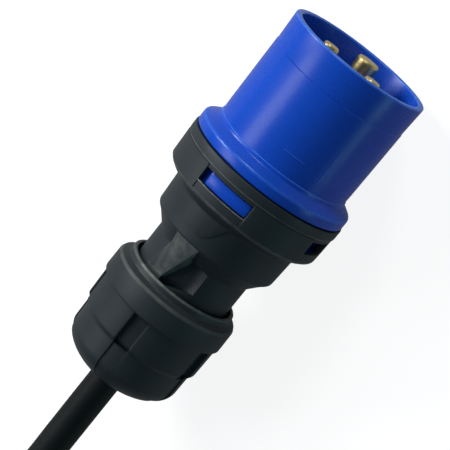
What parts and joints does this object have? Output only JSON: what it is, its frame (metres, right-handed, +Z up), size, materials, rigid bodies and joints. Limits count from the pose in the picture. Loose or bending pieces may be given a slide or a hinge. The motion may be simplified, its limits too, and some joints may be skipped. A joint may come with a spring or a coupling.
{
  "type": "industrial pin and sleeve plug",
  "caption": "round blue plug with a keyed shroud round three brass pins, a dark grey rear housing with latch windows, a grip-ribbed cable gland nut and a round rubber lead tied in a hank",
  "frame": {"origin": "on the surface that the plug lies on, below the middle of the plug without its lead", "axes": "+X along the plug's axis towards the shroud's open end, which is the way a mating connector leaves, +Z up, +Y to the left seen from behind the plug"},
  "size_m": [0.3932, 0.07, 0.051],
  "materials": {
    "shroud_plastic": "smooth moulded polyamide, blue, semi-gloss",
    "housing_plastic": "moulded polyamide, dark blue-grey, satin with a fine grain",
    "contact_brass": "turned brass",
    "screw_steel": "zinc-plated steel",
    "ferrule_metal": "tinned copper sleeve, crimped",
    "core_brown": "core insulation, brown",
    "core_blue": "core insulation, blue",
    "core_green_yellow": "core insulation, green with a yellow stripe",
    "lead_rubber": "rubber sheath, black, dull",
    "seal_rubber": "soft moulded rubber, black",
    "clamp_plastic": "moulded polyamide, light grey",
    "tie_fabric": "woven hook-and-loop strap, black"
  },
  "bodies": {
    "plug_body": {"sleeve": "shroud_plastic", "pin_carrier": "shroud_plastic", "live_pin": "contact_brass", "neutral_pin": "contact_brass", "earth_pin": "contact_brass", "live_terminal_screw": "screw_steel", "neutral_terminal_screw": "screw_steel", "earth_terminal_screw": "screw_steel", "live_ferrule": "ferrule_metal", "neutral_ferrule": "ferrule_metal", "earth_ferrule": "ferrule_metal", "live_core": "core_brown", "neutral_core": "core_blue", "earth_core": "core_green_yellow", "lead_end": "lead_rubber", "rear_housing": "housing_plastic", "cable_seal": "seal_rubber", "clamping_cage": "clamp_plastic", "lead": "lead_rubber", "lead_hank": "lead_rubber", "hank_tie_left": "tie_fabric", "hank_tie_right": "tie_fabric", "tail_core_brown": "core_brown", "tail_core_blue": "core_blue", "tail_core_earth": "core_green_yellow", "tail_ferrule_brown": "ferrule_metal", "tail_ferrule_blue": "ferrule_metal", "tail_ferrule_earth": "ferrule_metal"},
    "clamp_ring": {"clamping_cone": "clamp_plastic"},
    "nut": {"gland_nut": "housing_plastic"}
  },
  "joints": [
    {"name": "nut_slide", "type": "slide", "parent": "plug_body", "child": "clamp_ring", "axis": [-1, 0, 0], "range_m": [0, 0.0075]},
    {"name": "nut_turn", "type": "hinge", "parent": "clamp_ring", "child": "nut", "pos_m": [-0.04, 0, 0.0255], "axis": [-1, 0, 0], "range_deg": [0, 1080]}
  ],
  "couplings": [
    {"joint": "nut_slide", "follows": "nut_turn", "m_per_rad": 0.00039789}
  ]
}
